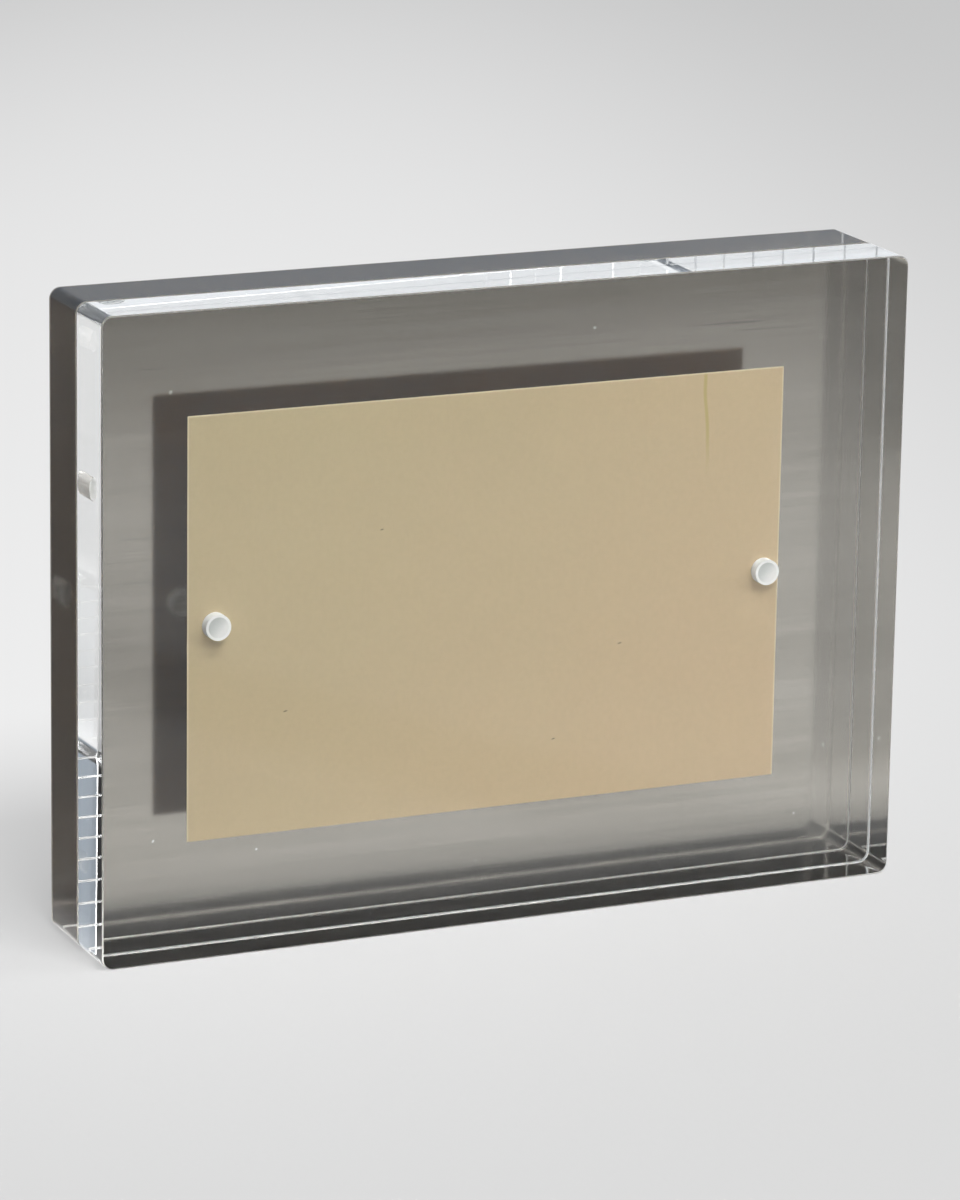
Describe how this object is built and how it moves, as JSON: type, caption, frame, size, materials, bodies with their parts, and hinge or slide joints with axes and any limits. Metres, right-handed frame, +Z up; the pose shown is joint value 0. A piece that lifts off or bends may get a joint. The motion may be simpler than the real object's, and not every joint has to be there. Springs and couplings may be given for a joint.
{
  "type": "acrylic block frame",
  "caption": "Free-standing photo frame of thick clear acrylic blocks held face to face by hidden magnets, with a print card between them and a brushed metal panel bonded to the back.",
  "frame": {"origin": "middle of the footprint, at the level of the surface that the frame stands on", "axes": "+X along the width, to the right seen from the front; +Y from the front to the back; +Z up"},
  "size_m": [0.2046, 0.0342, 0.154],
  "materials": {
    "clear_acrylic": "clear cast acrylic, faces and edges polished to a gloss, fine bevels",
    "magnet_plate": "bright nickel plate with a bevelled rim",
    "clear_glue": "clear set glue, slightly milky",
    "bond_film": "optically clear adhesive film",
    "brushed_panel": "dark warm grey, fine hairline brushing along the width, semi-gloss",
    "card_stock": "smooth matte beige card"
  },
  "bodies": {
    "rear_half": {"rear_block": "clear_acrylic", "bond_film": "bond_film", "back_panel": "brushed_panel", "rear_magnet_left": "magnet_plate", "rear_magnet_right": "magnet_plate", "rear_glue_left": "clear_glue", "rear_glue_right": "clear_glue"},
    "front_half": {"front_block": "clear_acrylic", "front_magnet_left": "magnet_plate", "front_magnet_right": "magnet_plate", "front_glue_left": "clear_glue", "front_glue_right": "clear_glue"},
    "card": {"photo_card": "card_stock"}
  },
  "joints": [
    {"name": "front_block_pull", "type": "slide", "parent": "rear_half", "child": "front_half", "axis": [0, -1, 0], "range_m": [0, 0.06]},
    {"name": "card_release", "type": "slide", "parent": "rear_half", "child": "card", "axis": [0, -1, 0], "range_m": [0, 0.03]}
  ],
  "couplings": [
    {"joint": "card_release", "follows": "front_block_pull", "ratio": 0.5}
  ]
}
